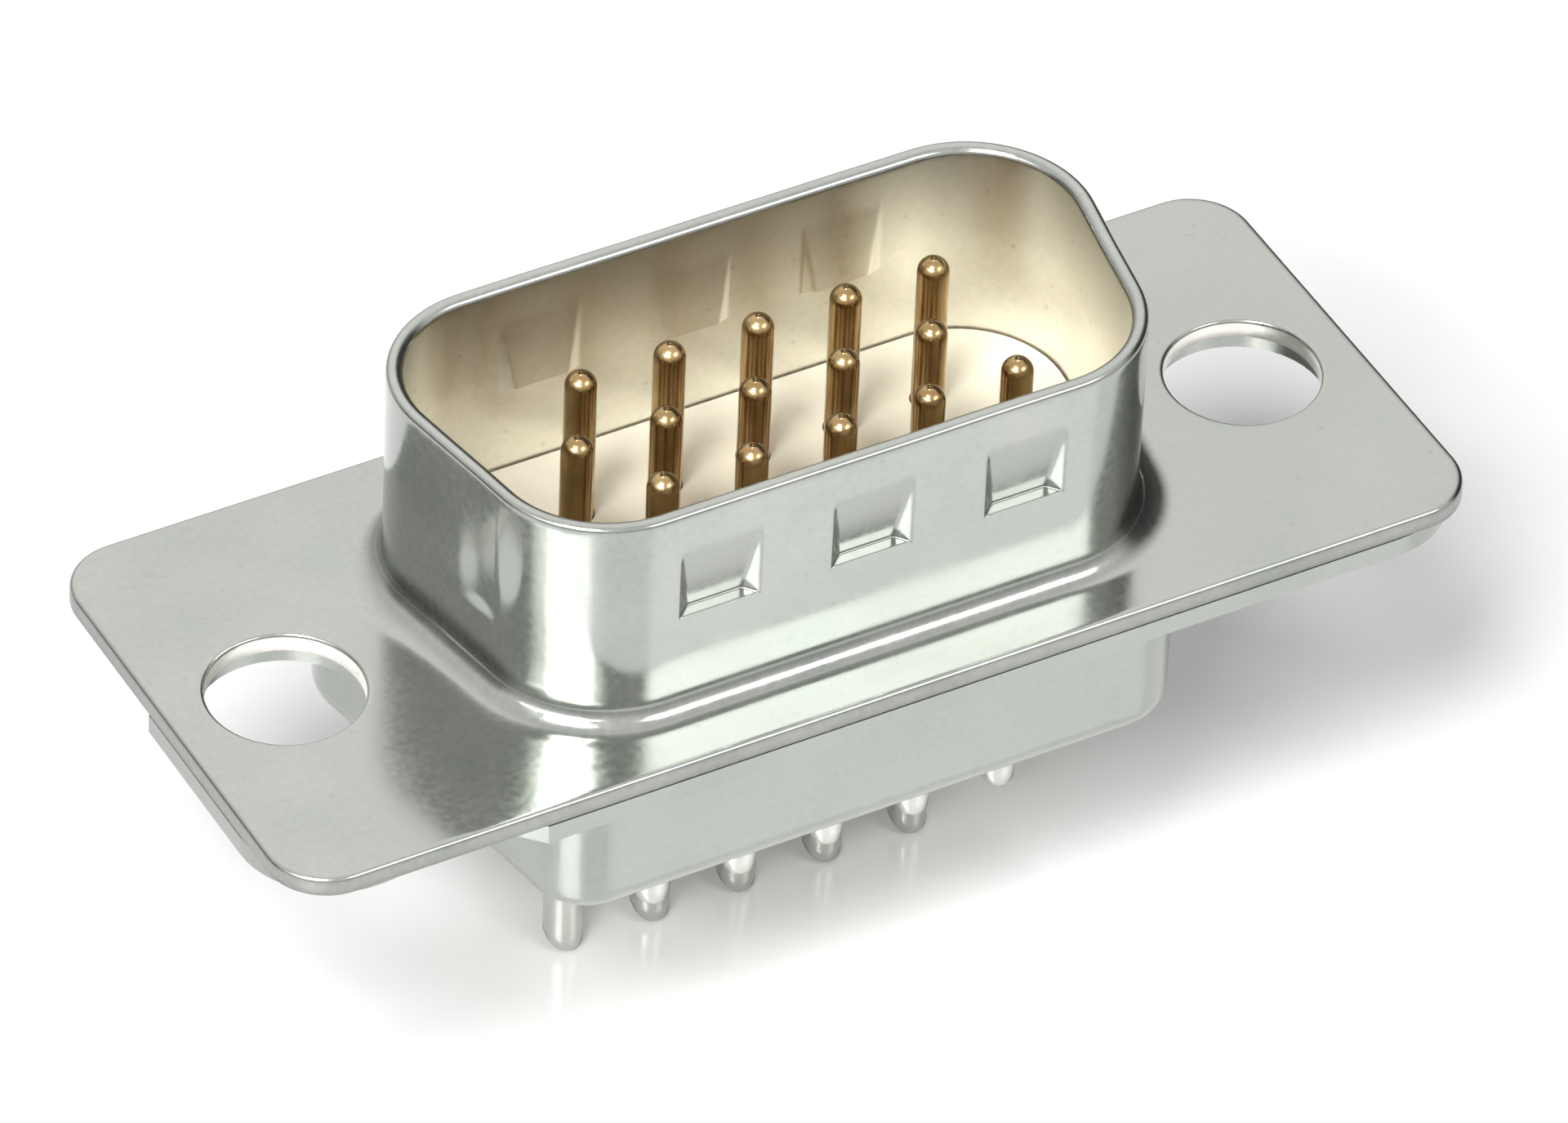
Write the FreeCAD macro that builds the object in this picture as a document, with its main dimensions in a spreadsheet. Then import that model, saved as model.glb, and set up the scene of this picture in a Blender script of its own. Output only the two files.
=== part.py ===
"""A high-density D-sub connector with 15 male contacts and solder cups.

Frame: +X along the flange, +Y towards the wide side of the D, +Z out of the mating face. The origin is
the middle of the two mounting holes, on the front face of the flange. Lengths are in millimetres.
"""
import FreeCAD, Part
import math
import os
import Sketcher

PARTS_FOLDER = "parts"
TOLERANCE = 1e-4

# Driving dimensions, in millimetres and degrees
DIMENSIONS = (
    ("plug_width", 16.92, "D opening across its wide side"),
    ("plug_height", 8.36, "D opening across its two long sides"),
    ("plug_corner", 2.6, "corner radius of the D opening"),
    ("side_angle", 10, "lean of the two short sides of the D"),
    ("plug_wall", 0.4, "wall of the drawn D"),
    ("plug_rise", 5.8, "flange face to the rim of the D"),
    ("draw_radius", 0.6, "hollow round between a drawn wall and its flange"),
    ("rim_round", 0.12, "round on the rim of the D"),
    ("sheet", 0.5, "thickness of each flange"),
    ("sheet_round", 0.12, "round on the edges of a flange"),
    ("hole_round", 0.08, "round on the rim of a mounting hole"),
    ("hole_offset", 4.035, "D opening to the middle of a mounting hole"),
    ("hole_diameter", 3.7, "mounting hole in the front flange"),
    ("rear_hole_diameter", 4.2, "mounting hole in the rear flange"),
    ("ear_reach", 2.91, "mounting hole to the end of the flange"),
    ("flange_side", 2.095, "D opening to the long edge of the flange"),
    ("flange_corner", 1.5, "corner radius of the front flange"),
    ("rear_flange_corner", 2.3, "radius of the rear flange's two front corners"),
    ("rear_crop", 5.2, "slant across the rear flange's two back corners"),
    ("relief", 0.65, "how far the rear flange's front edge steps back on the left ear"),
    ("relief_start", 11.9, "middle of the D to where the relief is at its full depth"),
    ("relief_end", 9.7, "middle of the D to where the relief ends beside the cup"),
    ("dimple_pitch", 3.95, "spacing of the dimples along a long wall"),
    ("dimple_width", 2.05, "dimple in a long wall, along the wall"),
    ("dimple_height", 1.8, "dimple in a long wall, up the wall"),
    ("dimple_level", 3.4, "middle of the dimples in the long walls"),
    ("dimple_depth", 0.35, "depth of every dimple"),
    ("end_dimple_width", 1.3, "dimple in a short wall, along the wall"),
    ("end_dimple_height", 1.4, "dimple in a short wall, up the wall"),
    ("end_dimple_level", 2.4, "middle of the dimples in the short walls"),
    ("end_dimple_shift", 1.5, "dimple in a short wall, towards the narrow side"),
    ("rear_margin", 1.18, "D opening to the outside of the rear cup"),
    ("rear_corner", 1.5, "corner radius of the rear cup"),
    ("rear_wall", 0.4, "wall of the rear cup"),
    ("rear_reach", 4.85, "flange face to the bottom of the rear cup"),
    ("rear_bend", 0.75, "outer round at the bottom of the rear cup"),
    ("rear_draw", 0.6, "hollow round between the rear cup and its flange"),
    ("lip_width", 1.6, "turned-in lip at the bottom of the rear cup"),
    ("fit_gap", 0.05, "gap between an insulator and the shell round it"),
    ("floor_level", 0.45, "flange face to the insulator's face in the D"),
    ("base_depth", 2.0, "front insulator behind the flange"),
    ("boss_proud", 0.3, "rear insulator below the lip"),
    ("pin_diameter", 0.76, "contact pin"),
    ("pin_setback", 1.13, "rim of the D down to the pin tips"),
    ("pin_gap", 0.03, "gap round a contact in its cavity"),
    ("contact_pitch", 2.29, "spacing of the contacts in a row"),
    ("row_spacing", 1.98, "spacing of the three rows"),
    ("collar_diameter", 1.3, "collar of a contact"),
    ("collar_depth", 0.8, "length of the collar"),
    ("cup_diameter", 0.95, "outside of a solder cup"),
    ("cup_wall", 0.13, "wall of a solder cup"),
    ("cup_depth", 2.4, "bore of a solder cup"),
    ("cup_cone_depth", 0.18, "cone at the bottom of the bore"),
    ("scoop_length", 1.5, "open side of a solder cup"),
    ("scoop_run", 0.35, "height of the slant at the top of the open side"),
    ("outer_tail", 3.2, "rear cup to the ends of the outer rows"),
    ("middle_tail", 5.85, "rear cup to the ends of the middle row"),
)

ROWS = (("wide", 1, 1), ("middle", 0, -1), ("narrow", -1, 1))
CONTACTS_IN_ROW = 5
DIMPLES_IN_ROW = 3

# A dimple is the tip of an ellipsoid twice as deep as the dimple, so its mouth is this share of the
# ellipsoid's full width
MOUTH_SHARE = math.sqrt(3) / 2


class Amount:
    """A length or angle as an expression of the sheet, with its value beside it."""

    def __init__(self, text, number):
        self.text = text
        self.number = number

    def __add__(self, other):
        other = amount(other)
        return Amount(f"({self.text} + {other.text})", self.number + other.number)

    def __sub__(self, other):
        other = amount(other)
        return Amount(f"({self.text} - {other.text})", self.number - other.number)

    def __mul__(self, other):
        other = amount(other)
        return Amount(f"({self.text} * {other.text})", self.number * other.number)

    def __truediv__(self, other):
        other = amount(other)
        return Amount(f"({self.text} / {other.text})", self.number / other.number)

    def __neg__(self):
        return Amount(f"(0 - {self.text})", -self.number)


def amount(value):
    """A plain number as an Amount; an Amount stays as it is."""
    if isinstance(value, Amount):
        return value
    return Amount(f"({value!r})", value)


def size(alias):
    """The sheet's value of that name."""
    return Amount(f"{sheet.Name}.{alias}", float(sheet.get(alias)))


def tangent(angle):
    return Amount(f"tan({angle.text} * 1 deg)", math.tan(math.radians(angle.number)))


def cosine(angle):
    return Amount(f"cos({angle.text} * 1 deg)", math.cos(math.radians(angle.number)))


def sine(angle):
    return Amount(f"sin({angle.text} * 1 deg)", math.sin(math.radians(angle.number)))


def make_sheet():
    """The driving dimensions: name, value and meaning in one row each."""
    table = doc.addObject("Spreadsheet::Sheet", "Sizes")
    for row, (alias, value, meaning) in enumerate(DIMENSIONS, 1):
        table.set(f"A{row}", alias)
        table.set(f"B{row}", str(value))
        table.set(f"C{row}", meaning)
        table.setAlias(f"B{row}", alias)
    doc.recompute()
    return table


def bind(item, path, value):
    """Ties a property of an object to the sheet."""
    item.setExpression(path, amount(value).text)


def new_body(label):
    body = doc.addObject("PartDesign::Body", label)
    body.Label = label
    return body


def new_sketch(body, name, role="XY_Plane", level=None):
    """A sketch on one of the body's own planes, moved along the plane's normal by level."""
    sketch = body.newObject("Sketcher::SketchObject", name)
    plane = [feature for feature in body.Origin.OriginFeatures if feature.Role == role][0]
    sketch.AttachmentSupport = (plane, [""])
    sketch.MapMode = "FlatFace"
    if level is not None:
        bind(sketch, "AttachmentOffset.Base.z", level)
    return sketch


def constrain(sketch, *terms, value=None):
    """Adds one constraint, driven by the sheet where a value is given."""
    if value is None:
        sketch.addConstraint(Sketcher.Constraint(*terms))
        return
    index = sketch.addConstraint(Sketcher.Constraint(*terms, value.number))
    bind(sketch, f"Constraints[{index}]", value)


def place_point(sketch, geometry, point, x, y):
    """Holds a point of the sketch at (x, y) from the origin."""
    for kind, axis, value in (("DistanceX", -2, amount(x)), ("DistanceY", -1, amount(y))):
        if abs(value.number) < TOLERANCE:
            constrain(sketch, "PointOnObject", geometry, point, axis)
        elif value.number > 0:
            constrain(sketch, kind, -1, 1, geometry, point, value=value)
        else:
            constrain(sketch, kind, geometry, point, -1, 1, value=-value)


def polygon(sketch, corners):
    """A closed outline of straight lines through the corners."""
    points = [FreeCAD.Vector(amount(x).number, amount(y).number, 0) for x, y in corners]
    count = len(corners)
    for start in range(count):
        end = (start + 1) % count
        sketch.addGeometry(Part.LineSegment(points[start], points[end]), False)
    for start in range(count):
        end = (start + 1) % count
        constrain(sketch, "Coincident", start, 2, end, 1)
    for index, (x, y) in enumerate(corners):
        place_point(sketch, index, 1, x, y)


def rounded_outline(sketch, width, height, corner, lean):
    """A rounded trapezium, symmetric about the Y axis, whose wide side is at +Y."""
    wide = width / 2 - corner
    middle = height / 2 - corner
    narrow = wide - middle * 2 * tangent(lean)
    turn = math.radians(lean.number)
    half = math.pi / 2
    arcs = (
        (wide, middle, -turn, half),
        (-wide, middle, half, math.pi + turn),
        (-narrow, -middle, math.pi + turn, 3 * half),
        (narrow, -middle, 3 * half, 2 * math.pi - turn),
    )
    ends = []
    for x, y, first, last in arcs:
        centre = FreeCAD.Vector(x.number, y.number, 0)
        circle = Part.Circle(centre, FreeCAD.Vector(0, 0, 1), corner.number)
        arc = Part.ArcOfCircle(circle, first, last)
        sketch.addGeometry(arc, False)
        ends.append((arc.StartPoint, arc.EndPoint))
    count = len(arcs)
    for index in range(count):
        following = (index + 1) % count
        line = sketch.addGeometry(Part.LineSegment(ends[index][1], ends[following][0]), False)
        constrain(sketch, "Tangent", index, 2, line, 1)
        constrain(sketch, "Tangent", line, 2, following, 1)
    constrain(sketch, "Radius", 0, value=corner)
    for index in range(1, count):
        constrain(sketch, "Equal", 0, index)
    for index, (x, y, _, _) in enumerate(arcs):
        place_point(sketch, index, 3, x, y)


def plug_outline(body, name, level, grow, corner=None):
    """The D of the mating opening, grown by an amount all round."""
    sketch = new_sketch(body, name, level=level)
    width = size("plug_width") + grow * 2
    height = size("plug_height") + grow * 2
    if corner is None:
        corner = size("plug_corner") + grow
    rounded_outline(sketch, width, height, corner, size("side_angle"))
    return sketch


def circles(sketch, centres, diameter):
    """Equal circles at the given centres."""
    radius = amount(diameter) / 2
    for x, y in centres:
        centre = FreeCAD.Vector(amount(x).number, amount(y).number, 0)
        circle = Part.Circle(centre, FreeCAD.Vector(0, 0, 1), radius.number)
        index = sketch.addGeometry(circle, False)
        if index == 0:
            constrain(sketch, "Radius", 0, value=radius)
        else:
            constrain(sketch, "Equal", 0, index)
        place_point(sketch, index, 3, x, y)


def pad(body, name, sketch, length):
    """Adds material from the sketch upwards."""
    feature = body.newObject("PartDesign::Pad", name)
    feature.Profile = sketch
    bind(feature, "Length", length)
    return feature


def pocket(body, name, sketch, length):
    """Cuts from the sketch downwards."""
    doc.recompute()
    before = body.Shape.Volume
    feature = body.newObject("PartDesign::Pocket", name)
    feature.Profile = sketch
    bind(feature, "Length", length)
    doc.recompute()
    if body.Shape.Volume >= before:
        raise RuntimeError(f"{name} cuts nothing")
    return feature


def middle_of(edge):
    return edge.valueAt((edge.FirstParameter + edge.LastParameter) / 2)


def at_level(edge, level):
    """True if the whole edge lies at the height level."""
    points = [vertex.Point for vertex in edge.Vertexes] + [middle_of(edge)]
    return all(abs(point.z - level.number) < TOLERANCE for point in points)


def is_ring(edge):
    """True for a full circle, whose two ends are one point."""
    return len(edge.Vertexes) == 1


def inside(edge, half_x, half_y):
    """True if the edge stays within a rectangle round the origin."""
    points = [vertex.Point for vertex in edge.Vertexes] + [middle_of(edge)]
    reach = (half_x.number + TOLERANCE, half_y.number + TOLERANCE)
    return all(abs(point.x) < reach[0] and abs(point.y) < reach[1] for point in points)


def dress_edges(body, kind, name, amount_name, value, chosen):
    """Rounds or slants the edges for which chosen is true."""
    doc.recompute()
    base = body.Tip
    names = [f"Edge{number}" for number, edge in enumerate(base.Shape.Edges, 1) if chosen(edge)]
    if not names:
        raise RuntimeError(f"{name} finds no edge")
    feature = body.newObject(kind, name)
    feature.Base = (base, names)
    bind(feature, amount_name, value)
    doc.recompute()
    return feature


def round_edges(body, name, radius, chosen):
    return dress_edges(body, "PartDesign::Fillet", name, "Radius", radius, chosen)


def hole_centres():
    """The middles of the two mounting holes."""
    x = size("plug_width") / 2 + size("hole_offset")
    return ((-x, 0), (x, 0))


def flange_length():
    return size("plug_width") + (size("hole_offset") + size("ear_reach")) * 2


def flange_width():
    return size("plug_height") + size("flange_side") * 2


def wall_dimples(grow):
    """Dimples of the long walls: where each ellipsoid stands and its half sizes."""
    outside = size("plug_height") / 2 + size("plug_wall") + size("dimple_depth")
    along = size("dimple_width") / (2 * MOUTH_SHARE) + grow
    through = size("dimple_depth") * 2 + grow
    upward = size("dimple_height") / (2 * MOUTH_SHARE) + grow
    for side in (-1, 1):
        for step in range(DIMPLES_IN_ROW):
            x = size("dimple_pitch") * (step - (DIMPLES_IN_ROW - 1) / 2)
            yield (x, outside * side, size("dimple_level")), (along, through, upward), 0


def end_dimples(grow):
    """Dimples of the short walls, turned square to those walls."""
    lean = size("side_angle")
    corner_x = size("plug_width") / 2 - size("plug_corner")
    corner_y = size("plug_height") / 2 - size("plug_corner")
    shift = size("end_dimple_shift")
    stand = size("plug_corner") + size("plug_wall")
    wall_x = corner_x - (corner_y + shift) * tangent(lean) + stand / cosine(lean)
    outward = size("dimple_depth")
    along = size("end_dimple_width") / (2 * MOUTH_SHARE) + grow
    through = size("dimple_depth") * 2 + grow
    upward = size("end_dimple_height") / (2 * MOUTH_SHARE) + grow
    for side in (-1, 1):
        x = (wall_x + outward * cosine(lean)) * side
        y = -shift - outward * sine(lean)
        yield (x, y, size("end_dimple_level")), (through, along, upward), -side


def press_dimples(body, name, grow):
    """Takes the ellipsoid of every dimple out of the body."""
    dimples = list(wall_dimples(grow)) + list(end_dimples(grow))
    for number, (centre, halves, turn) in enumerate(dimples, 1):
        dimple = body.newObject("PartDesign::SubtractiveEllipsoid", f"{name}{number}")
        axis = FreeCAD.Vector(0, 0, turn or 1)
        dimple.Placement = FreeCAD.Placement(FreeCAD.Vector(), FreeCAD.Rotation(axis, abs(turn)))
        for letter, value in zip("xyz", centre):
            bind(dimple, f"Placement.Base.{letter}", value)
        if turn:
            bind(dimple, "Placement.Rotation.Angle", size("side_angle"))
        bind(dimple, "Radius2", halves[0])
        bind(dimple, "Radius3", halves[1])
        bind(dimple, "Radius1", halves[2])


def make_front_shell():
    """Drawn D with its flange: pad, draw radius, hollow, dimples, holes and rounded edges."""
    zero = amount(0)
    wall = size("plug_wall")
    below = -size("sheet")
    near_x = size("plug_width") / 2 + wall
    near_y = size("plug_height") / 2 + wall

    hollow = new_body("front_hollow")
    depth = size("sheet") + size("plug_rise")
    pad(hollow, "HollowPad", plug_outline(hollow, "HollowOutline", below, zero), depth)
    press_dimples(hollow, "DimpleBack", wall)

    body = new_body("front_shell")
    outline = new_sketch(body, "FlangeOutline", level=below)
    corner = size("flange_corner")
    rounded_outline(outline, flange_length(), flange_width(), corner, zero)
    pad(body, "Flange", outline, size("sheet"))
    pad(body, "Drawn", plug_outline(body, "DrawnOutline", zero, wall), size("plug_rise"))
    round_edges(body, "DrawRadius", size("draw_radius"),
                lambda edge: at_level(edge, zero) and inside(edge, near_x, near_y))
    cut = body.newObject("PartDesign::Boolean", "Hollow")
    cut.Type = "Cut"
    cut.setObjects([hollow])
    press_dimples(body, "Dimple", zero)
    holes = new_sketch(body, "HoleOutline", level=zero)
    circles(holes, hole_centres(), size("hole_diameter"))
    pocket(body, "Holes", holes, size("sheet"))
    round_edges(body, "Rim", size("rim_round"),
                lambda edge: at_level(edge, size("plug_rise")))
    round_edges(body, "UndersideBend", size("draw_radius") + wall,
                lambda edge: at_level(edge, below) and inside(edge, near_x, near_y))
    far_x = near_x + size("draw_radius")
    far_y = near_y + size("draw_radius")
    round_edges(body, "FlangeEdge", size("sheet_round"),
                lambda edge: at_level(edge, zero) and not inside(edge, far_x, far_y)
                and not is_ring(edge))
    round_edges(body, "HoleEdge", size("hole_round"),
                lambda edge: at_level(edge, zero) and is_ring(edge))
    return body


def make_rear_shell():
    """Flange with cropped back corners and a relief, and a cup with a turned-in bottom lip."""
    top = -size("sheet")
    under = top - size("sheet")
    bottom = -size("rear_reach")
    margin = size("rear_margin")
    wall = size("rear_wall")
    corner = size("rear_corner")
    half_x = flange_length() / 2
    half_y = flange_width() / 2
    near_x = size("plug_width") / 2 + margin
    near_y = size("plug_height") / 2 + margin

    def upright(edge, side):
        point = middle_of(edge)
        ends = [vertex.Point.z for vertex in edge.Vertexes]
        return abs(abs(point.x) - half_x.number) < TOLERANCE and point.y * side > 0 \
            and abs(ends[0] - ends[-1]) > TOLERANCE

    body = new_body("rear_shell")
    outline = new_sketch(body, "RearFlangeOutline", level=under)
    relief = size("relief")
    set_back = relief - half_y
    polygon(outline, ((-half_x, -half_y), (-size("relief_start"), set_back),
                      (-size("relief_end"), set_back), (relief - size("relief_end"), -half_y),
                      (half_x, -half_y), (half_x, half_y), (-half_x, half_y)))
    pad(body, "RearFlange", outline, size("sheet"))
    round_edges(body, "FrontCorners", size("rear_flange_corner"), lambda edge: upright(edge, -1))
    dress_edges(body, "PartDesign::Chamfer", "BackCorners", "Size", size("rear_crop"),
                lambda edge: upright(edge, 1))
    cup = plug_outline(body, "CupOutline", bottom, margin, corner)
    pad(body, "Cup", cup, under - bottom)
    round_edges(body, "CupDraw", size("rear_draw"),
                lambda edge: at_level(edge, under) and inside(edge, near_x, near_y))
    round_edges(body, "CupBend", size("rear_bend"), lambda edge: at_level(edge, bottom))
    hollow = plug_outline(body, "CupHollowOutline", top, margin - wall, corner - wall)
    pocket(body, "CupHollow", hollow, top - bottom - wall)
    round_edges(body, "CupInnerBend", size("rear_bend") - wall,
                lambda edge: at_level(edge, bottom + wall))
    lip = plug_outline(body, "LipOutline", bottom + wall, margin - size("lip_width"))
    pocket(body, "LipOpening", lip, wall)
    round_edges(body, "CupMouth", size("rear_draw") + wall / 2,
                lambda edge: at_level(edge, top) and inside(edge, near_x, near_y))
    holes = new_sketch(body, "RearHoleOutline", level=top)
    circles(holes, hole_centres(), size("rear_hole_diameter"))
    pocket(body, "RearHoles", holes, size("sheet"))
    return body


def contact_places():
    """The number and middle of every contact, row by row."""
    number = 0
    for name, row, shift in ROWS:
        for step in range(CONTACTS_IN_ROW):
            number += 1
            along = step - (CONTACTS_IN_ROW - 1) / 2 + shift / 4
            yield number, name, size("contact_pitch") * along, size("row_spacing") * row


def contact_holes(body, name, level, diameter, depth):
    """A cavity for every contact, cut downwards from the level."""
    sketch = new_sketch(body, f"{name}Outline", level=level)
    circles(sketch, [(x, y) for _, _, x, y in contact_places()], diameter)
    pocket(body, name, sketch, depth)


def split_level():
    """Where the two insulators meet."""
    return -size("sheet") - size("base_depth")


def make_front_insulator():
    """Block in the D, with a wider base in the rear cup and a seat for every collar."""
    gap = size("fit_gap")
    floor = size("floor_level")
    below = -size("sheet")
    split = split_level()
    inner = size("rear_margin") - size("rear_wall")
    corner = size("rear_corner") - size("rear_wall")
    pin_hole = size("pin_diameter") + size("pin_gap") * 2
    seat = size("collar_diameter") + size("pin_gap") * 2

    body = new_body("front_insulator")
    base = plug_outline(body, "BaseOutline", split, inner - gap, corner - gap)
    pad(body, "Base", base, below - split)
    pad(body, "Block", plug_outline(body, "BlockOutline", below, -gap), floor - below)
    contact_holes(body, "PinHoles", floor, pin_hole, floor - split)
    contact_holes(body, "CollarSeats", split + size("collar_depth"), seat, size("collar_depth"))
    return body


def make_rear_insulator():
    """Block in the rear cup, with a boss that stands out through the lip."""
    gap = size("fit_gap")
    split = split_level()
    wall = size("rear_wall")
    bottom = -size("rear_reach")
    seat = bottom + wall
    end = bottom - size("boss_proud")
    inner = size("rear_margin") - wall
    corner = size("rear_corner") - wall
    cup_hole = size("cup_diameter") + size("pin_gap") * 2

    body = new_body("rear_insulator")
    block = plug_outline(body, "RearBlockOutline", seat, inner - gap, corner - gap)
    pad(body, "RearBlock", block, split - seat)
    round_edges(body, "RearBlockEdge", size("rear_bend") - wall,
                lambda edge: at_level(edge, seat))
    boss = plug_outline(body, "BossOutline", end, size("rear_margin") - size("lip_width") - gap)
    pad(body, "Boss", boss, seat - end)
    contact_holes(body, "CupHoles", split, cup_hole, split - end)
    return body


def contact_outline(body, tail):
    """Half section of a contact: round nose, pin, collar, barrel and cup bore."""
    tip = size("plug_rise") - size("pin_setback")
    pin = size("pin_diameter") / 2
    collar = size("collar_diameter") / 2
    barrel = size("cup_diameter") / 2
    bore = barrel - size("cup_wall")
    split = split_level()
    shoulder = split + size("collar_depth")
    end = -size("rear_reach") - tail
    bore_top = end + size("cup_depth")
    corners = (
        (0, tip),
        (pin, tip - pin),
        (pin, shoulder),
        (collar, shoulder),
        (collar, split),
        (barrel, split),
        (barrel, end),
        (bore, end),
        (bore, bore_top),
        (0, bore_top + size("cup_cone_depth")),
    )
    sketch = new_sketch(body, "ContactOutline", role="XZ_Plane")
    points = [FreeCAD.Vector(amount(x).number, amount(y).number, 0) for x, y in corners]
    count = len(corners)
    centre = points[1] - FreeCAD.Vector(pin.number, 0, 0)
    nose = Part.Circle(centre, FreeCAD.Vector(0, 0, 1), pin.number)
    sketch.addGeometry(Part.ArcOfCircle(nose, 0, math.pi / 2), False)
    for start in range(1, count):
        end_point = points[(start + 1) % count]
        sketch.addGeometry(Part.LineSegment(points[start], end_point), False)
    constrain(sketch, "Coincident", 0, 1, 1, 1)
    for start in range(1, count - 1):
        constrain(sketch, "Coincident", start, 2, start + 1, 1)
    constrain(sketch, "Coincident", count - 1, 2, 0, 2)
    place_point(sketch, 0, 3, 0, tip - pin)
    for index, (x, y) in enumerate(corners[1:], 1):
        place_point(sketch, index, 1, x, y)
    constrain(sketch, "PointOnObject", 0, 2, -2)
    return sketch


def make_contact(number, row, x, y):
    """One turned contact; its cup opens towards the wide side of the D."""
    tail = size("middle_tail") if row == "middle" else size("outer_tail")
    end = -size("rear_reach") - tail
    barrel = size("cup_diameter") / 2
    top = end + size("scoop_length")

    body = new_body(f"contact_{number:02d}")
    turned = body.newObject("PartDesign::Revolution", "Turned")
    turned.Profile = contact_outline(body, tail)
    turned.ReferenceAxis = (turned.Profile[0], ["V_Axis"])
    turned.Angle = 360
    scoop = new_sketch(body, "ScoopOutline", role="YZ_Plane", level=-barrel * 2)
    clear = barrel * 2
    polygon(scoop, ((0, end - barrel), (clear, end - barrel),
                    (clear, top + size("scoop_run")), (0, top)))
    doc.recompute()
    before = body.Shape.Volume
    cut = body.newObject("PartDesign::Pocket", "Scoop")
    cut.Profile = scoop
    cut.Reversed = True
    bind(cut, "Length", barrel * 4)
    doc.recompute()
    if body.Shape.Volume >= before:
        raise RuntimeError(f"the scoop of contact {number} cuts nothing")
    bind(body, "Placement.Base.x", x)
    bind(body, "Placement.Base.y", y)
    return body


def check(nodes):
    """Stops the script if anything in the model failed."""
    for item in doc.Objects:
        if "Invalid" in item.State or "Error" in item.State:
            raise RuntimeError(f"{item.Name} failed: {item.State}")
    for node in nodes:
        if node.Shape.isNull() or not node.Shape.isValid():
            raise RuntimeError(f"{node.Label} has no valid shape")
        if len(node.Shape.Solids) != 1:
            raise RuntimeError(f"{node.Label} is not one solid")


doc = FreeCAD.newDocument("DSubConnector")
sheet = make_sheet()
subparts = [make_front_shell(), make_rear_shell(), make_front_insulator(), make_rear_insulator()]
for place in contact_places():
    subparts.append(make_contact(*place))
doc.recompute()
check(subparts)
os.makedirs(PARTS_FOLDER, exist_ok=True)
for subpart in subparts:
    subpart.Shape.exportStep(f"{PARTS_FOLDER}/{subpart.Label}.step")
    print(subpart.Label, round(subpart.Shape.Volume, 3))
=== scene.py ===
"""A high-density D-sub connector: its looks, light and camera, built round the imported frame."""
import math
from collections import namedtuple

import bpy
from mathutils import Matrix, Vector, noise
from mathutils.geometry import delaunay_2d_cdt


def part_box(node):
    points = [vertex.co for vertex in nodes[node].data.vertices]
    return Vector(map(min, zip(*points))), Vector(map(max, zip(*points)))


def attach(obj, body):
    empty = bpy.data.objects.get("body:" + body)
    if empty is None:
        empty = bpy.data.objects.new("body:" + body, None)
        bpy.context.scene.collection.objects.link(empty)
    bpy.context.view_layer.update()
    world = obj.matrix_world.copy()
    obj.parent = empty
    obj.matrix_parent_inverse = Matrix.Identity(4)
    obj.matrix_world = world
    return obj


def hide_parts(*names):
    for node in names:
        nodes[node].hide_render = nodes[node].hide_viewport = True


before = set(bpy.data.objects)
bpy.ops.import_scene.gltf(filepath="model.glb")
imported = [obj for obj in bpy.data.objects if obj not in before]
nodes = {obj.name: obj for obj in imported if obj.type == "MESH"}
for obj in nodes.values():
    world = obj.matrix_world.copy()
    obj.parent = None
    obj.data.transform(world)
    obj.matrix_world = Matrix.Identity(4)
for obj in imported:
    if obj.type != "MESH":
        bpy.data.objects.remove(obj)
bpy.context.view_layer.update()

MM = 0.001

# The photograph's camera, in degrees, pixels and millimetres
AZIMUTH = -30.157
ELEVATION = 41.073
ROLL = 2.51
FOCAL_PIXELS = 16569.4
DISTANCE = 310.48
ORIGIN_PIXEL = (944.417, 646.473)
PICTURE = (1920, 1375)
SENSOR = 36.0

# The front shell, in millimetres and degrees, as in the solids
PLUG_WIDTH = 16.92
PLUG_HEIGHT = 8.36
PLUG_CORNER = 2.6
SIDE_ANGLE = 10
PLUG_WALL = 0.4
PLUG_RISE = 5.8
DRAW_RADIUS = 0.6
SHEET = 0.5
SHEET_ROUND = 0.12
FLANGE_LENGTH = 30.81
FLANGE_WIDTH = 12.55
FLANGE_CORNER = 1.5
HOLE_X = 12.495
HOLE_RADIUS = 1.85
HOLE_ROUND = 0.08

# What the photograph adds to it: a softer rim, and a draw radius that spreads at the two ends
OUTER_RIM_ROUND = 0.13
INNER_RIM_ROUND = 0.2
END_SPREAD = 0.5

# The walls' unevenness, its full level, and its cells per millimetre along X, Y and Z
UNEVEN = 0.02
UNEVEN_LEVEL = 1.6
UNEVEN_CELLS = (0.35, 0.5, 0.3)

# A pressed dimple: half its width, its depth, the slopes of its flanks and of the step below it,
# the levels of its top and bottom, and the width over which its creases are rounded; the inner
# share is how much of its depth shows inside the wall
Dimple = namedtuple("Dimple", "half_width depth flank step top bottom soft")
LONG_DIMPLE = Dimple(1.03, 0.31, flank=0.88, step=5.0, top=4.75, bottom=2.76, soft=0.02)
LONG_DIMPLE_PLACES = (-3.9, 0.0, 3.95)
END_DIMPLE = Dimple(0.6, 0.06, flank=0.2, step=0.3, top=3.9, bottom=2.0, soft=0.05)
END_DIMPLE_PLACE = -1.5
INNER_SHARE = 0.55

# How finely the front shell is divided: steps along the outline and up the walls
CORNER_STEPS = 26
LONG_WALL_STEPS = 220
END_WALL_STEPS = 40
LEVEL_STEP = 0.12
LEDGE_STEP = 0.01
LEDGE_ROWS = range(-2, 10)

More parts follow.
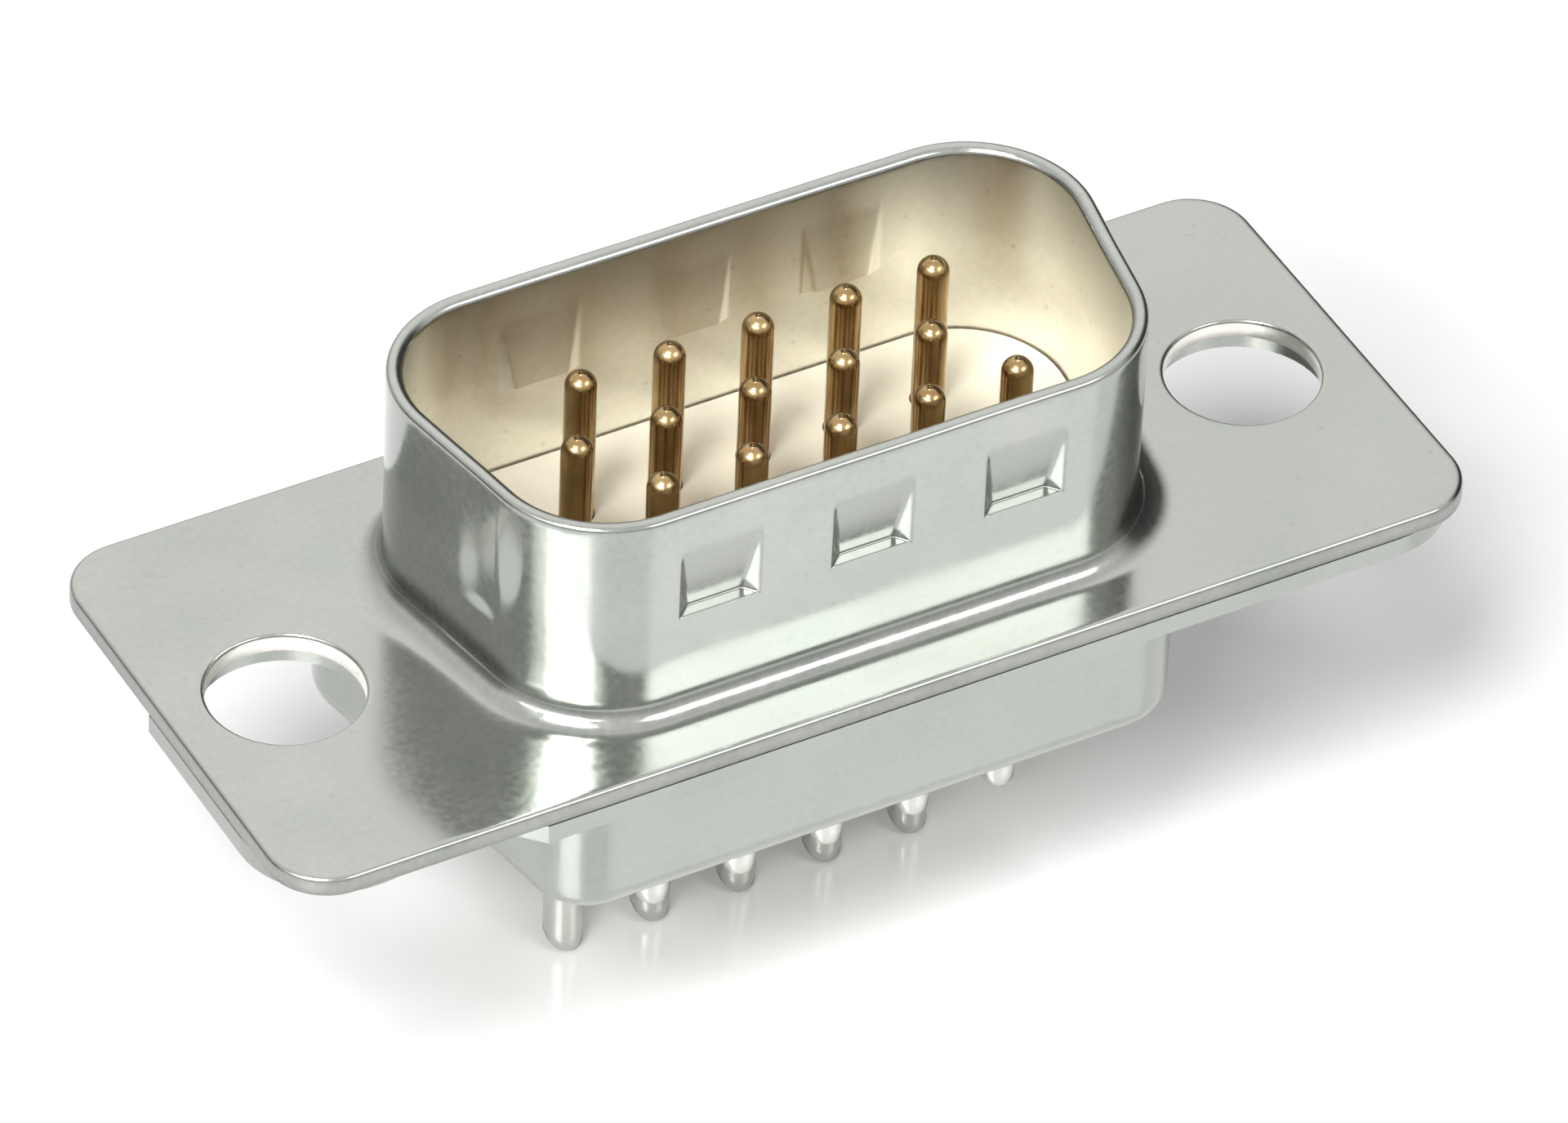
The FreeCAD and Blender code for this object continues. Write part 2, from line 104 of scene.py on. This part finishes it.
# The rounded edges: the nearest row's distance, their steps and the breaks of the lower edges
FOOT_MARGIN = 0.08
RIM_MARGIN = 0.05
FLANGE_MARGIN = 0.2
FLANGE_EDGE_STEPS = 5
FLANGE_BREAK = 0.04
HOLE_MARGIN = 0.05
HOLE_EDGE_STEPS = 4
HOLE_BREAK = 0.03

# A row of the wall's profile that is nearer the opening than this is on the inside
INNER_REACH = 0.01

# Material slots of the front shell: bright outside, pale inside and dull sheared edge; the inside
# is a lighter, yellower copy of the same tin, painted light for the lit cream insulator it mirrors
OUTSIDE, INSIDE, SHEARED = range(3)

# A contact, in millimetres; its place, tip and end come from the frame
PIN_RADIUS = 0.38
TAIL_RADIUS = 0.475
BORE_RADIUS = 0.345
BORE_DEPTH = 2.4
CONE_DEPTH = 0.12
CONE_SHARE = 0.4
SHAFT_LENGTH = 4.6
SHAFT_ROWS = (0.8, 1.8, 2.8, 4.5)
NOSE_ANGLES = (8, 16, 25, 34, 44, 54, 64, 74, 82, 90)
TURNS = 40

# The end of its solder cup: the tongue, the scoop and the breaks of its edge
TONGUE = 0.34
TONGUE_POWER = 2.6
SCOOP_LENGTH = 1.5
SCOOP_SHARE = 0.45
CUP_ABOVE_BORE = 0.3
CUP_ROWS = 9
TAIL_BREAK = 0.05
TAIL_BREAK_MIDDLE = (0.02, 0.015)
BORE_BREAK = 0.04

# Colours shared by the tin platings
BROAD_TINT = (0.84, 0.85, 0.84, 1)
PIT_COLOUR = (0.30, 0.31, 0.28, 1)

# The floor: its level in millimetres and its reach in metres
FLOOR_LEVEL = -10.75
FLOOR_REACH = 2.0
FLOOR_COLOUR = (0.92, 0.92, 0.925, 1)
FLOOR_WHITE_SHARE = 0.06

# The world: azimuth, elevation, core and edge in degrees of each patch, and its change
WORLD_COLOUR = (1.0, 1.0, 0.98, 1)
WORLD_LIGHT_SHARE = 0.12
WORLD_PATCHES = (
    (150, 41, 12, 45, 0.42),
    (110, 8, 30, 45, -0.9),
    (-120, 10, 12, 27, -0.6),
)

# The lamps: name, azimuth, elevation, width and height in metres, and power in watts
LAMP_DISTANCE = 0.9
LAMPS = (
    ("key", -54, 57, 0.30, 0.30, 6.8),
    ("strip_low", -54, 39.5, 0.42, 0.10, 4.2),
    ("strip_front_left", -58, 41, 0.85, 0.065, 1.55),
    ("box_front_right", 31, 41, 0.42, 0.24, 1.75),
)


def make_camera():
    """The camera fitted to the photograph."""
    turn, roll = math.radians(AZIMUTH), math.radians(ROLL)
    back = direction(AZIMUTH, ELEVATION)
    level = Vector((math.cos(turn), math.sin(turn), 0))
    rise = back.cross(level)
    right = level * math.cos(roll) + rise * math.sin(roll)
    up = rise * math.cos(roll) - level * math.sin(roll)
    per_pixel = DISTANCE / FOCAL_PIXELS
    off_right = (ORIGIN_PIXEL[0] - PICTURE[0] / 2) * per_pixel
    off_up = (PICTURE[1] / 2 - ORIGIN_PIXEL[1]) * per_pixel
    place = (back * DISTANCE - right * off_right - up * off_up) * MM
    data = bpy.data.cameras.new("camera")
    data.sensor_width = SENSOR
    data.lens = FOCAL_PIXELS * SENSOR / PICTURE[0]
    data.clip_start = 0.01
    data.clip_end = 20
    camera = bpy.data.objects.new("camera", data)
    camera.matrix_world = Matrix((
        (right.x, up.x, back.x, place.x),
        (right.y, up.y, back.y, place.y),
        (right.z, up.z, back.z, place.z),
        (0, 0, 0, 1),
    ))
    bpy.context.scene.collection.objects.link(camera)
    bpy.context.scene.camera = camera


def direction(azimuth, elevation):
    """Unit vector; azimuth 0 points to -Y, and 90 to +X."""
    turn, lift = math.radians(azimuth), math.radians(elevation)
    flat = math.cos(lift)
    return Vector((math.sin(turn) * flat, -math.cos(turn) * flat, math.sin(lift)))


class Nodes:
    """A small helper for node trees: add nodes, set sockets and link them."""

    def __init__(self, tree):
        self.tree = tree
        tree.nodes.clear()

    def add(self, kind, **settings):
        """Adds a node with its settings."""
        node = self.tree.nodes.new(kind)
        for key, value in settings.items():
            setattr(node, key, value)
        return node

    def put(self, node, socket, value):
        """Sets a socket to a number or colour, or links it to another node's output."""
        if isinstance(value, bpy.types.NodeSocket):
            self.tree.links.new(value, node.inputs[socket])
        else:
            node.inputs[socket].default_value = value

    def make(self, kind, output, sockets, **settings):
        """Adds a node, fills its sockets and returns one of its outputs."""
        node = self.add(kind, **settings)
        for socket, value in sockets.items():
            self.put(node, socket, value)
        return node.outputs[output]

    def place(self, kind="Object"):
        """The place that is shaded, in metres, or the direction in a world."""
        return self.make("ShaderNodeTexCoord", kind, {})

    def height(self, place):
        """The Z of a place."""
        return self.make("ShaderNodeSeparateXYZ", 2, {0: place})

    def noise(self, place, scale, detail, stretch=None):
        """Noise by place, in cells per metre; stretch scales the place first."""
        if stretch:
            place = self.make("ShaderNodeMapping", 0, {"Vector": place, "Scale": stretch})
        return self.make("ShaderNodeTexNoise", "Fac", {
            "Vector": place, "Scale": scale, "Detail": detail, "Roughness": 0.5})

    def spread(self, value, low, high, first, last):
        """Maps low to high onto first to last, held at the ends."""
        return self.make("ShaderNodeMapRange", 0, {
            "Value": value, "From Min": low, "From Max": high, "To Min": first, "To Max": last})

    def reckon(self, one, other, operation="ADD"):
        """The sum of two values, or the result of another operation."""
        return self.make("ShaderNodeMath", 0, {0: one, 1: other}, operation=operation)

    def blend(self, factor, one, other, kind="MIX"):
        """Two colours blended by a factor."""
        return self.make("ShaderNodeMix", 2, {0: factor, 6: one, 7: other},
                         data_type="RGBA", blend_type=kind)

    def bump(self, height, strength, distance, normal=None):
        """A bump of some height in metres, over an earlier one where that is given."""
        sockets = {"Height": height, "Strength": strength, "Distance": distance}
        if normal:
            sockets["Normal"] = normal
        return self.make("ShaderNodeBump", 0, sockets)

    def seen(self):
        """1 where a ray shows a surface, straight, mirrored or through glass, and 0 elsewhere."""
        path = self.add("ShaderNodeLightPath").outputs
        seen = self.reckon(path["Is Camera Ray"], path["Is Glossy Ray"], "MAXIMUM")
        return self.reckon(seen, path["Is Transmission Ray"], "MAXIMUM")

    def close(self, kind, shader):
        """Links the shader to the tree's output."""
        self.put(self.add(kind), "Surface", shader)


def new_material(name):
    """A material and the helper for its empty node tree."""
    material = bpy.data.materials.new(name)
    material.use_nodes = True
    return material, Nodes(material.node_tree)


def tin_material(name, base, shade, gloss, marks, painted_rim_shade=None):
    """Bright tin plating: a mottled coat, fine drawing marks along Z and small pits.

    Gloss is its least roughness, marks is the strength of the drawing marks, and the rim colour,
    where given, darkens the plating towards the shell's rim: painted shade for the shadowed floor
    mirrored there.
    """
    material, tree = new_material(name)
    place = tree.place()
    cloud = tree.noise(place, 420, 2.0)
    grain = tree.noise(place, 5200, 2.0)
    drawn = tree.noise(place, 2600, 2.0, stretch=(1, 1, 0.05))
    speck = tree.make("ShaderNodeTexVoronoi", "Distance", {"Vector": place, "Scale": 1500})
    mottle = tree.reckon(tree.spread(cloud, 0.3, 0.7, 0.0, 0.6),
                         tree.spread(grain, 0.35, 0.65, 0.0, 0.4))
    colour = tree.blend(mottle, shade, base)
    broad = tree.spread(tree.noise(place, 130, 1.0), 0.45, 0.62, 0.0, 0.25)
    colour = tree.blend(broad, colour, BROAD_TINT, "MULTIPLY")
    # Painted shade: the plating darkens towards the rim, standing in for the shadowed insulator
    # floor that the upper inner wall mirrors
    if painted_rim_shade:
        painted_shade_near_rim = tree.spread(tree.height(place), 3.0 * MM, 5.6 * MM, 0.0, 1.0)
        colour = tree.blend(painted_shade_near_rim, colour, painted_rim_shade, "MULTIPLY")
    pits = tree.spread(speck, 0.05, 0.14, 0.25, 0.0)
    colour = tree.blend(pits, colour, PIT_COLOUR)
    roughness = tree.reckon(tree.spread(cloud, 0.3, 0.7, gloss, gloss + 0.07),
                            tree.spread(grain, 0.35, 0.65, 0.0, 0.05))
    normal = tree.bump(cloud, 0.12, 0.020 * MM)
    normal = tree.bump(drawn, marks, 0.004 * MM, normal)
    normal = tree.bump(grain, 0.05, 0.002 * MM, normal)
    shader = tree.make("ShaderNodeBsdfPrincipled", 0, {
        "Base Color": colour, "Metallic": 1.0, "Roughness": roughness, "Normal": normal})
    tree.close("ShaderNodeOutputMaterial", shader)
    return material


def insulator_material():
    """Cream moulded thermoplastic with a faint grain."""
    material, tree = new_material("cream_plastic")
    place = tree.place()
    cloud = tree.noise(place, 300, 3.0)
    grain = tree.noise(place, 9000, 2.0)
    colour = tree.blend(tree.spread(cloud, 0.3, 0.7, 0.0, 1.0),
                        (0.61, 0.575, 0.465, 1), (0.69, 0.655, 0.545, 1))
    roughness = tree.spread(cloud, 0.3, 0.7, 0.34, 0.46)
    normal = tree.bump(grain, 0.2, 0.010 * MM)
    shader = tree.make("ShaderNodeBsdfPrincipled", 0, {
        "Base Color": colour, "Roughness": roughness, "Normal": normal,
        "Subsurface Weight": 0.12, "Subsurface Scale": 0.6 * MM})
    tree.close("ShaderNodeOutputMaterial", shader)
    return material


def contact_material():
    """Thin gold plating on the pins, turning to bright tin on the tails."""
    material, tree = new_material("contact_plating")
    place = tree.place()
    cloud = tree.noise(place, 900, 3.0)
    turned = tree.noise(place, 3000, 2.0, stretch=(0.1, 0.1, 1))
    mottle = tree.spread(cloud, 0.3, 0.7, 0.0, 1.0)
    gold = tree.blend(mottle, (0.36, 0.23, 0.10, 1), (0.52, 0.37, 0.19, 1))
    tin = tree.blend(mottle, (0.54, 0.55, 0.52, 1), (0.64, 0.65, 0.61, 1))
    on_pin = tree.spread(tree.height(place), -1.2 * MM, -0.6 * MM, 0.0, 1.0)
    colour = tree.blend(on_pin, tin, gold)
    roughness = tree.spread(cloud, 0.3, 0.7, 0.15, 0.25)
    normal = tree.bump(turned, 0.25, 0.004 * MM)
    shader = tree.make("ShaderNodeBsdfPrincipled", 0, {
        "Base Color": colour, "Metallic": 1.0, "Roughness": roughness, "Normal": normal})
    tree.close("ShaderNodeOutputMaterial", shader)
    return material


def smooth_step(value, low, high):
    """0 up to low and 1 from high on, with a smooth rise between them."""
    share = min(1.0, max(0.0, (value - low) / (high - low)))
    return share * share * (3 - 2 * share)


def soft_least(one, other, width):
    """The smaller value, rounded where the two are close."""
    share = max(width - abs(one - other), 0.0) / width
    return min(one, other) - share * share * width / 4


def d_outline():
    """Points round the D opening: place, outward normal, wall name and distance along that wall."""
    lean = math.radians(SIDE_ANGLE)
    wide = PLUG_WIDTH / 2 - PLUG_CORNER
    middle = PLUG_HEIGHT / 2 - PLUG_CORNER
    narrow = wide - 2 * middle * math.tan(lean)
    corners = (
        ((wide, middle), -lean, math.pi / 2, "back"),
        ((-wide, middle), math.pi / 2, math.pi + lean, "left"),
        ((-narrow, -middle), math.pi + lean, 1.5 * math.pi, "front"),
        ((narrow, -middle), 1.5 * math.pi, 2 * math.pi - lean, "right"),
    )
    points = []
    for index, (centre, first, last, wall) in enumerate(corners):
        for step in range(CORNER_STEPS + 1):
            angle = first + (last - first) * step / CORNER_STEPS
            normal = Vector((math.cos(angle), math.sin(angle)))
            points.append((Vector(centre) + normal * PLUG_CORNER, normal, "corner", 0.0))
        start, normal = points[-1][:2]
        following = corners[(index + 1) % len(corners)][0]
        end = Vector(following) + normal * PLUG_CORNER
        is_long = wall in ("front", "back")
        steps = LONG_WALL_STEPS if is_long else END_WALL_STEPS
        for step in range(1, steps):
            place = start.lerp(end, step / steps)
            points.append((place, normal, wall, place.x if is_long else place.y))
    return points


def press(along, level, dimple):
    """Depth of a pressed dimple: a sloping face between two flanks, with a step below."""
    face = dimple.depth * (dimple.top - level) / (dimple.top - dimple.bottom)
    flank = (dimple.half_width - abs(along)) * dimple.flank
    step = (level - dimple.bottom) * dimple.step
    pressed = soft_least(soft_least(face, flank, dimple.soft * 1.5), step, dimple.soft)
    return -soft_least(0.0, -pressed, dimple.soft * 1.3)


def dimple_depth(wall, along, level):
    """Depth of the dimples at a place on one of the walls or corners."""
    if wall in ("front", "back"):
        return max(press(along - place, level, LONG_DIMPLE) for place in LONG_DIMPLE_PLACES)
    if wall in ("left", "right"):
        return press(along - END_DIMPLE_PLACE, level, END_DIMPLE)
    return 0.0


def arc(centre, radius, first, last, steps):
    """Points of an arc as (out, up) pairs, angles in degrees."""
    angles = [math.radians(first + (last - first) * step / steps) for step in range(steps + 1)]
    return [(centre[0] + radius * math.cos(angle), centre[1] + radius * math.sin(angle))
            for angle in angles]


def wall_profile():
    """The drawn wall as (out, up) pairs, from the flange's face over the rim to its underside."""
    foot = PLUG_WALL + DRAW_RADIUS
    outer_rim = PLUG_RISE - OUTER_RIM_ROUND
    inner_rim = PLUG_RISE - INNER_RIM_ROUND
    rows = range(1, math.ceil((PLUG_RISE - DRAW_RADIUS) / LEVEL_STEP))
    levels = {round(DRAW_RADIUS + LEVEL_STEP * row, 3) for row in rows}
    levels |= {round(LONG_DIMPLE.bottom + LEDGE_STEP * row, 3) for row in LEDGE_ROWS}
    outer = [level for level in sorted(levels) if level < outer_rim - RIM_MARGIN]
    inner = [level for level in reversed(outer) if level < inner_rim - RIM_MARGIN]
    profile = [(foot + FOOT_MARGIN, 0.0)]
    profile += arc((foot, DRAW_RADIUS), DRAW_RADIUS, 270, 180, 12)
    profile += [(PLUG_WALL, level) for level in outer]
    profile += arc((PLUG_WALL - OUTER_RIM_ROUND, outer_rim), OUTER_RIM_ROUND, 0, 90, 6)
    profile += arc((INNER_RIM_ROUND, inner_rim), INNER_RIM_ROUND, 90, 180, 7)
    profile += [(0.0, level) for level in inner]
    profile += arc((foot, foot - SHEET), foot, 180, 270, 8)
    profile += [(foot + FOOT_MARGIN, -SHEET)]
    return profile


def edge_profile(margin, edge_round, steps, edge_break):
    """The edge of the sheet as (into the sheet, up) pairs, from its face to its underside."""
    rounded = [(edge_round - out, up - edge_round)
               for out, up in arc((0, 0), edge_round, 90, 0, steps)]
    return [(margin, 0.0)] + rounded + [(0.0, edge_break - SHEET), (edge_break, -SHEET)]


def rounded_rectangle(length, width, corner, inset, steps=16):
    """Points round a rectangle with rounded corners, set in from its edge."""
    points = []
    for turn, (side_x, side_y) in enumerate(((1, 1), (-1, 1), (-1, -1), (1, -1))):
        centre = Vector((side_x * (length / 2 - corner), side_y * (width / 2 - corner)))
        for step in range(steps + 1):
            angle = math.pi / 2 * (turn + step / steps)
            points.append(centre + Vector((math.cos(angle), math.sin(angle))) * (corner - inset))
    return points


def ring(x, radius, steps=72):
    """Points round a circle whose centre is on the X axis."""
    angles = [2 * math.pi * step / steps for step in range(steps)]
    return [Vector((x + radius * math.cos(angle), radius * math.sin(angle))) for angle in angles]


def within(point, outline):
    """True if the point lies inside the closed outline."""
    found = False
    for index, one in enumerate(outline):
        other = outline[index - 1]
        if (one.y > point.y) != (other.y > point.y):
            if point.x < (other.x - one.x) * (point.y - one.y) / (other.y - one.y) + one.x:
                found = not found
    return found


class Skin:
    """Collects the rings and faces of a closed mesh, in millimetres."""

    def __init__(self):
        self.points = []
        self.faces = []
        self.slots = []

    def add_points(self, points):
        """Adds points and returns their numbers."""
        first = len(self.points)
        self.points += points
        return list(range(first, len(self.points)))

    def add_ring(self, points, level):
        """Adds a flat ring at one level."""
        return self.add_points([(point[0], point[1], level) for point in points])

    def add_face(self, corners, slot=OUTSIDE):
        """Adds a face in the material of the slot."""
        self.faces.append(tuple(corners))
        self.slots.append(slot)

    def join(self, lower, upper, slot=OUTSIDE):
        """Faces between two rings of equal length."""
        for index in range(len(lower)):
            after = (index + 1) % len(lower)
            self.add_face((lower[index], lower[after], upper[after], upper[index]), slot)

    def cap(self, ends, point, reverse):
        """Closes a ring with a fan of faces round one point."""
        centre, = self.add_points([point])
        for index, one in enumerate(ends):
            other = ends[(index + 1) % len(ends)]
            self.add_face((other, one, centre) if reverse else (one, other, centre))

    def plate(self, outer, inners, upward):
        """A flat plate between an outer ring and the rings inside it."""
        rings = [outer] + inners
        numbers = [number for item in rings for number in item]
        where = {number: index for index, number in enumerate(numbers)}
        flat = [Vector(self.points[number][:2]) for number in numbers]
        edges = [(where[item[index]], where[item[(index + 1) % len(item)]])
                 for item in rings for index in range(len(item))]
        _, _, faces, sources, _, _ = delaunay_2d_cdt(flat, edges, [], 1, 1e-7)
        assert all(len(source) == 1 for source in sources)
        holes = [[Vector(self.points[number][:2]) for number in item] for item in inners]
        for face in faces:
            corners = [sources[index][0] for index in face]
            one, two, three = (flat[index] for index in corners)
            middle = (one + two + three) / 3
            if any(within(middle, hole) for hole in holes):
                continue
            if ((two - one).cross(three - one) > 0) != upward:
                corners.reverse()
            self.add_face(numbers[index] for index in corners)

    def build(self, name):
        """Makes the object, in metres."""
        mesh = bpy.data.meshes.new(name)
        points = [[value * MM for value in point] for point in self.points]
        mesh.from_pydata(points, [], self.faces)
        mesh.polygons.foreach_set("material_index", self.slots)
        mesh.polygons.foreach_set("use_smooth", [True] * len(self.faces))
        mesh.update()
        item = bpy.data.objects.new(name, mesh)
        bpy.context.scene.collection.objects.link(item)
        return item


def wall_ring(outline, out, level):
    """Points round the drawn wall at one row of its profile."""
    pressed = INNER_SHARE if out < INNER_REACH else 1.0
    uneven = UNEVEN * smooth_step(level, DRAW_RADIUS, UNEVEN_LEVEL)
    cells_x, cells_y, cells_z = UNEVEN_CELLS
    spread = 0.0
    if level >= 0 and out > PLUG_WALL:
        spread = (out - PLUG_WALL) * END_SPREAD
    points = []
    for place, normal, wall, along in outline:
        depth = dimple_depth(wall, along, level) * pressed
        spot = Vector((place.x * cells_x, place.y * cells_y, level * cells_z))
        reach = out + spread * normal.x ** 2 - depth + uneven * noise.noise(spot)
        points.append(place + normal * reach)
    return points


def add_drawn_wall(skin):
    """The drawn wall with its draw radius, rim and dimples; returns its rings."""
    outline = d_outline()
    profile = wall_profile()
    rings = [skin.add_ring(wall_ring(outline, out, level), level) for out, level in profile]
    for (out, _), lower, upper in zip(profile, rings, rings[1:]):
        skin.join(lower, upper, INSIDE if out < INNER_REACH else OUTSIDE)
    return rings


def add_flange_edge(skin):
    """The outer edge of the flange; returns its rings."""
    size = (FLANGE_LENGTH, FLANGE_WIDTH, FLANGE_CORNER)
    edge = edge_profile(FLANGE_MARGIN, SHEET_ROUND, FLANGE_EDGE_STEPS, FLANGE_BREAK)
    rings = [skin.add_ring(rounded_rectangle(*size, inset), level) for inset, level in edge]
    for index, (upper, lower) in enumerate(zip(rings, rings[1:])):
        skin.join(lower, upper, SHEARED if index >= FLANGE_EDGE_STEPS else OUTSIDE)
    return rings


def add_hole(skin, x):
    """The wall of a mounting hole; returns its rings."""
    edge = edge_profile(HOLE_ROUND + HOLE_MARGIN, HOLE_ROUND, HOLE_EDGE_STEPS, HOLE_BREAK)
    rings = [skin.add_ring(ring(x, HOLE_RADIUS + wider), level) for wider, level in edge]
    for index, (upper, lower) in enumerate(zip(rings, rings[1:])):
        # Below its rounding the hole's wall takes the inside's lighter tin: a painted highlight
        # that makes it show white
        skin.join(upper, lower, INSIDE if index > HOLE_EDGE_STEPS else OUTSIDE)
    return rings


def make_front_shell():
    """The drawn shell with its pressed dimples, soft rim and slightly uneven walls."""
    skin = Skin()
    wall = add_drawn_wall(skin)
    edge = add_flange_edge(skin)
    holes = [add_hole(skin, side * HOLE_X) for side in (-1, 1)]
    skin.plate(edge[0], [wall[0]] + [hole[0] for hole in holes], True)
    skin.plate(edge[-1], [wall[-1]] + [hole[-1] for hole in holes], False)
    return skin.build("front_shell_skin")


def cup_edge(turn, end):
    """Height of a solder cup's edge: a tongue towards -Y, cut back towards +Y."""
    side = abs(math.sin(turn))
    if math.cos(turn) >= 0:
        return end + TONGUE * (1 - math.sqrt(max(0.0, 1 - side ** TONGUE_POWER)))
    return end + TONGUE + (SCOOP_LENGTH - TONGUE) * smooth_step(1 - side, 0.0, SCOOP_SHARE)


def make_contact(name):
    """A turned contact: a round-nosed pin, and a solder cup cut back to a rounded tongue."""
    low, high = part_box(name)
    x, y = (low[0] + high[0]) / 2 / MM, (low[1] + high[1]) / 2 / MM
    tip, end = high[2] / MM, low[2] / MM
    shoulder = tip - PIN_RADIUS
    bore_floor = end + BORE_DEPTH
    cup_top = bore_floor + CUP_ABOVE_BORE
    turns = [2 * math.pi * step / TURNS for step in range(TURNS)]
    edges = [cup_edge(turn, end) for turn in turns]
    skin = Skin()
    rings = []

    def add(radius, heights):
        """Adds a ring with a height for each turn."""
        rings.append(skin.add_points([
            (x + radius * math.sin(turn), y - radius * math.cos(turn), height)
            for turn, height in zip(turns, heights)]))

    for angle in NOSE_ANGLES:
        lean = math.radians(angle)
        add(PIN_RADIUS * math.sin(lean), [tip - PIN_RADIUS * (1 - math.cos(lean))] * TURNS)
    for row in SHAFT_ROWS:
        add(PIN_RADIUS, [shoulder - row] * TURNS)
    add(TAIL_RADIUS, [shoulder - SHAFT_LENGTH] * TURNS)
    for row in range(CUP_ROWS + 1):
        share = row / CUP_ROWS
        add(TAIL_RADIUS, [cup_top * (1 - share) + (edge + TAIL_BREAK) * share for edge in edges])
    middle_in, middle_up = TAIL_BREAK_MIDDLE
    add(TAIL_RADIUS - middle_in, [edge + middle_up for edge in edges])
    add(TAIL_RADIUS - TAIL_BREAK, edges)
    add(BORE_RADIUS + BORE_BREAK, edges)
    for row in range(CUP_ROWS + 1):
        share = row / CUP_ROWS
        add(BORE_RADIUS, [(edge + BORE_BREAK) * (1 - share) + bore_floor * share for edge in edges])
    add(BORE_RADIUS * CONE_SHARE, [bore_floor + CONE_DEPTH] * TURNS)

    for upper, lower in zip(rings, rings[1:]):
        skin.join(upper, lower)
    skin.cap(rings[0], (x, y, tip), False)
    skin.cap(rings[-1], (x, y, bore_floor + CONE_DEPTH), True)
    return skin.build(name + "_turned")


def dress(node, material):
    """Gives a CAD node its material."""
    item = nodes[node]
    item.data.materials.clear()
    item.data.materials.append(material)


def make_floor():
    """A pale floor that keeps the object's shadow."""
    mesh = bpy.data.meshes.new("floor")
    corners = [(x * FLOOR_REACH, y * FLOOR_REACH, FLOOR_LEVEL * MM)
               for x, y in ((-1, -1), (1, -1), (1, 1), (-1, 1))]
    mesh.from_pydata(corners, [], [(0, 1, 2, 3)])
    floor = bpy.data.objects.new("floor", mesh)
    bpy.context.scene.collection.objects.link(floor)
    material, tree = new_material("pale_floor")
    seen = tree.seen()
    satin = tree.make("ShaderNodeBsdfPrincipled", 0, {
        "Base Color": FLOOR_COLOUR, "Roughness": 0.13, "IOR": 1.5})
    white = tree.make("ShaderNodeEmission", 0, {"Color": (1, 1, 1, 1), "Strength": 1.0})
    share = tree.reckon(seen, FLOOR_WHITE_SHARE, "MULTIPLY")
    shader = tree.make("ShaderNodeMixShader", 0, {0: share, 1: satin, 2: white})
    tree.close("ShaderNodeOutputMaterial", shader)
    mesh.materials.append(material)


def make_world():
    """A soft studio: pale for reflections, dimmer for the light that it throws on the object."""
    world = bpy.data.worlds.new("studio")
    world.use_nodes = True
    tree = Nodes(world.node_tree)
    seen = tree.seen()
    place = tree.place("Generated")
    level = tree.spread(tree.height(place), 0.0, 0.5, 0.55, 1.0)
    for azimuth, elevation, core, edge, change in WORLD_PATCHES:
        near = tree.make("ShaderNodeVectorMath", "Value", {
            0: place, 1: direction(azimuth, elevation)}, operation="DOT_PRODUCT")
        patch = tree.spread(near, math.cos(math.radians(edge)), math.cos(math.radians(core)),
                            0.0, change)
        level = tree.reckon(level, tree.reckon(patch, 1.0), "MULTIPLY")
    shown = tree.spread(seen, 0.0, 1.0, WORLD_LIGHT_SHARE, 1.0)
    level = tree.reckon(level, shown, "MULTIPLY")
    shader = tree.make("ShaderNodeBackground", 0, {"Color": WORLD_COLOUR, "Strength": level})
    tree.close("ShaderNodeOutputWorld", shader)
    bpy.context.scene.world = world


def make_lamp(name, azimuth, elevation, width, height, power):
    """A soft box that faces the object."""
    away = direction(azimuth, elevation)
    data = bpy.data.lights.new(name, "AREA")
    data.shape = "RECTANGLE"
    data.size = width
    data.size_y = height
    data.energy = power
    item = bpy.data.objects.new(name, data)
    item.location = away * LAMP_DISTANCE
    item.rotation_euler = away.to_track_quat("Z", "Y").to_euler()
    bpy.context.scene.collection.objects.link(item)


make_camera()
make_world()
make_floor()
for lamp in LAMPS:
    make_lamp(*lamp)

shell_tin = tin_material("drawn_tin", base=(0.44, 0.45, 0.425, 1), shade=(0.37, 0.39, 0.365, 1),
                         gloss=0.11, marks=0.05)
# Painted light: the inside is the same tin as the outside, given a much lighter, yellower colour
# for the lit cream insulator that it mirrors
painted_light_inner_tin = tin_material("painted_light_inner_tin", base=(0.97, 0.95, 0.88, 1), shade=(0.86, 0.845, 0.775, 1),
                         gloss=0.31, marks=0.05, painted_rim_shade=(0.52, 0.53, 0.52, 1))
cut_tin = tin_material("cut_tin", base=(0.40, 0.41, 0.385, 1), shade=(0.30, 0.31, 0.295, 1),
                       gloss=0.34, marks=0.4)
rear_tin = tin_material("rear_tin", base=(0.385, 0.40, 0.375, 1), shade=(0.34, 0.355, 0.33, 1),
                        gloss=0.14, marks=0.05)
cream = insulator_material()
plating = contact_material()

front_shell = make_front_shell()
for material in (shell_tin, painted_light_inner_tin, cut_tin):
    front_shell.data.materials.append(material)
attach(front_shell, "root")
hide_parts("front_shell")
dress("rear_shell", rear_tin)
dress("front_insulator", cream)
dress("rear_insulator", cream)
for name in nodes:
    if name.startswith("contact_"):
        contact = make_contact(name)
        contact.data.materials.append(plating)
        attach(contact, "root")
        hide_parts(name)

bpy.context.scene.view_settings.view_transform = "Standard"
